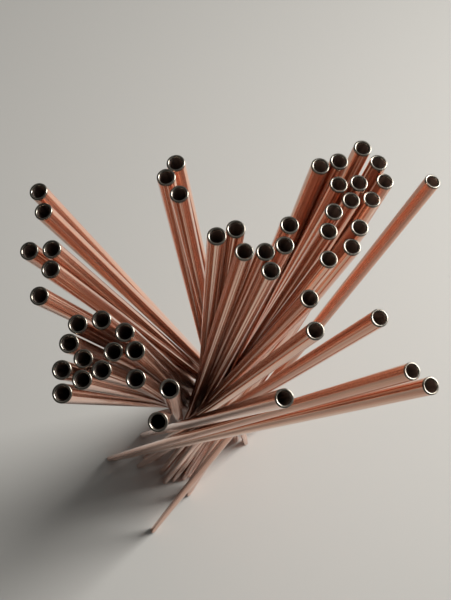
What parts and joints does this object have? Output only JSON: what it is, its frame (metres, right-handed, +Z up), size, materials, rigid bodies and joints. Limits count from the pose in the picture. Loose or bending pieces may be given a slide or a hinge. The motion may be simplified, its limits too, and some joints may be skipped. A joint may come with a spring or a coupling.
{
  "type": "bundle of copper-coated steel tubes",
  "caption": "Bundle of straight thin copper-coated steel tubes cut to one length, gathered at the middle and fanned out at both ends.",
  "frame": {"origin": "on the floor, under the middle of the bundle's box", "axes": "+Z up along the bundle, +X to the right and +Y away from the viewer, seen from in front and above"},
  "size_m": [0.1538, 0.122, 0.5],
  "materials": {
    "copper_coated_steel": "satin drawn copper coat on steel, bare steel at the cut ends"
  },
  "bodies": {
    "root": {"tube_01": "copper_coated_steel", "tube_02": "copper_coated_steel", "tube_03": "copper_coated_steel", "tube_04": "copper_coated_steel", "tube_05": "copper_coated_steel", "tube_06": "copper_coated_steel", "tube_07": "copper_coated_steel", "tube_08": "copper_coated_steel", "tube_09": "copper_coated_steel", "tube_10": "copper_coated_steel", "tube_11": "copper_coated_steel", "tube_12": "copper_coated_steel", "tube_13": "copper_coated_steel", "tube_14": "copper_coated_steel", "tube_15": "copper_coated_steel", "tube_16": "copper_coated_steel", "tube_17": "copper_coated_steel", "tube_18": "copper_coated_steel", "tube_19": "copper_coated_steel", "tube_20": "copper_coated_steel", "tube_21": "copper_coated_steel", "tube_22": "copper_coated_steel", "tube_23": "copper_coated_steel", "tube_24": "copper_coated_steel", "tube_25": "copper_coated_steel", "tube_26": "copper_coated_steel", "tube_27": "copper_coated_steel", "tube_28": "copper_coated_steel", "tube_29": "copper_coated_steel", "tube_30": "copper_coated_steel", "tube_31": "copper_coated_steel", "tube_32": "copper_coated_steel", "tube_33": "copper_coated_steel", "tube_34": "copper_coated_steel", "tube_35": "copper_coated_steel", "tube_36": "copper_coated_steel", "tube_37": "copper_coated_steel", "tube_38": "copper_coated_steel", "tube_39": "copper_coated_steel", "tube_40": "copper_coated_steel", "tube_41": "copper_coated_steel", "tube_42": "copper_coated_steel", "tube_43": "copper_coated_steel", "tube_44": "copper_coated_steel", "tube_45": "copper_coated_steel", "tube_46": "copper_coated_steel", "tube_47": "copper_coated_steel", "tube_48": "copper_coated_steel", "tube_49": "copper_coated_steel", "tube_50": "copper_coated_steel", "tube_51": "copper_coated_steel"}
  },
  "joints": []
}
